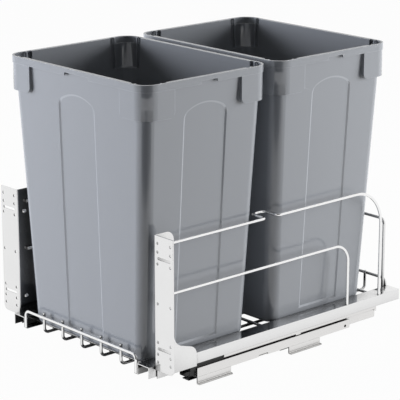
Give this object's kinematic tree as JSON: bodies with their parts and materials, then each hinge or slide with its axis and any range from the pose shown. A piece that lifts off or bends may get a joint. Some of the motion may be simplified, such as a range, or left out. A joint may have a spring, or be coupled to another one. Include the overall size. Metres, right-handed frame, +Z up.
{
  "type": "pull out waste unit",
  "caption": "Pull-out waste unit with two lift-out grey bins in a chromed wire basket on ball-bearing slides, with door brackets.",
  "frame": {"origin": "on the cabinet floor, at the centre of the screw holes in the four feet", "axes": "+Z up, -Y the way the basket pulls out of the cabinet, X across between the two slides"},
  "size_m": [0.423, 0.5631, 0.4826],
  "materials": {
    "bin_plastic": "satin grey moulded plastic",
    "slide_steel": "bright zinc plate",
    "folded_steel": "chrome plate",
    "chromed_wire": "chrome plate",
    "bearing_steel": "polished",
    "cage_steel": "plain",
    "rivet_steel": "bright zinc plate",
    "guide_plastic": "black moulded plastic"
  },
  "bodies": {
    "cabinet_rails": {"fixed_rail_left": "slide_steel", "front_foot_left": "slide_steel", "rear_foot_left": "slide_steel", "fixed_rail_right": "slide_steel", "front_foot_right": "slide_steel", "rear_foot_right": "slide_steel"},
    "basket": {"basket_runner_left": "slide_steel", "side_channel_left": "folded_steel", "upper_side_rail_left": "chromed_wire", "lower_side_rail_left": "chromed_wire", "door_bracket_left": "folded_steel", "bracket_rivets_left": "rivet_steel", "basket_runner_right": "slide_steel", "side_channel_right": "folded_steel", "upper_side_rail_right": "chromed_wire", "lower_side_rail_right": "chromed_wire", "door_bracket_right": "folded_steel", "bracket_rivets_right": "rivet_steel", "floor_wires": "chromed_wire", "cross_wires": "chromed_wire", "front_basket_rail": "chromed_wire", "rear_basket_rail": "chromed_wire", "rear_hoop": "chromed_wire"},
    "member_left": {"slide_member_left": "slide_steel", "slide_guide_left": "guide_plastic"},
    "lower_cage_left": {"lower_ball_cage_left": "cage_steel", "lower_balls_left": "bearing_steel"},
    "upper_cage_left": {"upper_ball_cage_left": "cage_steel", "upper_balls_left": "bearing_steel"},
    "member_right": {"slide_member_right": "slide_steel", "slide_guide_right": "guide_plastic"},
    "lower_cage_right": {"lower_ball_cage_right": "cage_steel", "lower_balls_right": "bearing_steel"},
    "upper_cage_right": {"upper_ball_cage_right": "cage_steel", "upper_balls_right": "bearing_steel"},
    "front_bin": {"front_bin": "bin_plastic"},
    "rear_bin": {"rear_bin": "bin_plastic"}
  },
  "joints": [
    {"name": "basket_slide", "type": "slide", "parent": "cabinet_rails", "child": "basket", "axis": [0, -1, 0], "range_m": [0, 0.5]},
    {"name": "member_left_slide", "type": "slide", "parent": "cabinet_rails", "child": "member_left", "axis": [0, -1, 0], "range_m": [0, 0.25]},
    {"name": "lower_cage_left_slide", "type": "slide", "parent": "cabinet_rails", "child": "lower_cage_left", "axis": [0, -1, 0], "range_m": [0, 0.125]},
    {"name": "upper_cage_left_slide", "type": "slide", "parent": "cabinet_rails", "child": "upper_cage_left", "axis": [0, -1, 0], "range_m": [0, 0.375]},
    {"name": "member_right_slide", "type": "slide", "parent": "cabinet_rails", "child": "member_right", "axis": [0, -1, 0], "range_m": [0, 0.25]},
    {"name": "lower_cage_right_slide", "type": "slide", "parent": "cabinet_rails", "child": "lower_cage_right", "axis": [0, -1, 0], "range_m": [0, 0.125]},
    {"name": "upper_cage_right_slide", "type": "slide", "parent": "cabinet_rails", "child": "upper_cage_right", "axis": [0, -1, 0], "range_m": [0, 0.375]},
    {"name": "front_bin_lift", "type": "slide", "parent": "basket", "child": "front_bin", "axis": [0, 0, 1], "range_m": [0, 0.45]},
    {"name": "rear_bin_lift", "type": "slide", "parent": "basket", "child": "rear_bin", "axis": [0, 0, 1], "range_m": [0, 0.45]}
  ],
  "couplings": [
    {"joint": "member_left_slide", "follows": "basket_slide", "ratio": 0.5},
    {"joint": "lower_cage_left_slide", "follows": "basket_slide", "ratio": 0.25},
    {"joint": "upper_cage_left_slide", "follows": "basket_slide", "ratio": 0.75},
    {"joint": "member_right_slide", "follows": "basket_slide", "ratio": 0.5},
    {"joint": "lower_cage_right_slide", "follows": "basket_slide", "ratio": 0.25},
    {"joint": "upper_cage_right_slide", "follows": "basket_slide", "ratio": 0.75}
  ]
}
